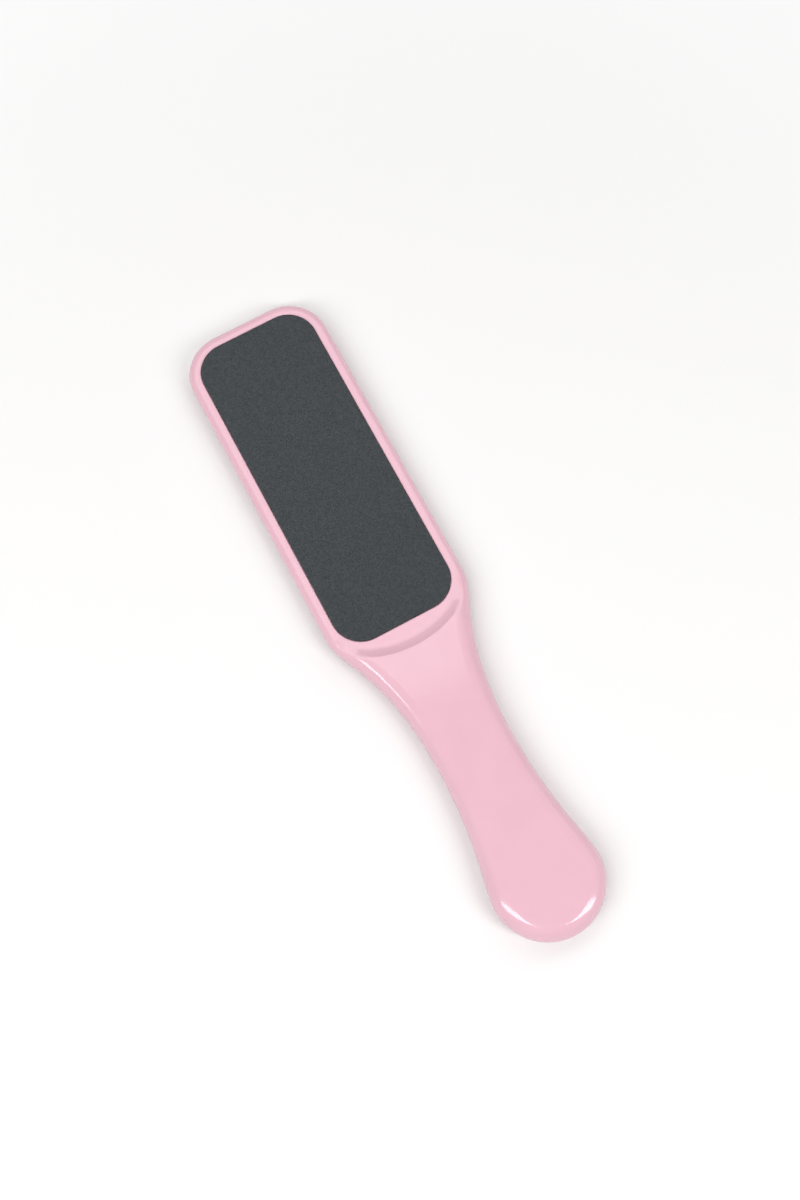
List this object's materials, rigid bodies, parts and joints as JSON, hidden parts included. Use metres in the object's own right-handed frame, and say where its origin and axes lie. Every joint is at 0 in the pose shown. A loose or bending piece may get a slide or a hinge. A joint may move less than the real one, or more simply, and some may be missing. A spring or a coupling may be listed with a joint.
{
  "type": "foot scrubber",
  "caption": "Pink moulded paddle with a dark abrasive sheet on each side of its long head, an arched step and a handle that swells to a round end.",
  "frame": {"origin": "middle of the paddle's outline, on the surface that it lies on", "axes": "+Y towards the tip of the head, +Z out of the front side, which carries the coarse sheet, +X to the right"},
  "size_m": [0.0512, 0.234, 0.013],
  "materials": {
    "pink_abs": "soft gloss, moulded ABS",
    "coarse_grit": "matt coarse grit on a resin-bonded backing",
    "fine_grit": "matt fine grit on a resin-bonded backing",
    "adhesive_film": "double-sided adhesive film"
  },
  "bodies": {
    "root": {"front_shell": "pink_abs", "back_shell": "pink_abs", "coarse_adhesive_film": "adhesive_film", "coarse_abrasive_sheet": "coarse_grit", "fine_adhesive_film": "adhesive_film", "fine_abrasive_sheet": "fine_grit"}
  },
  "joints": []
}
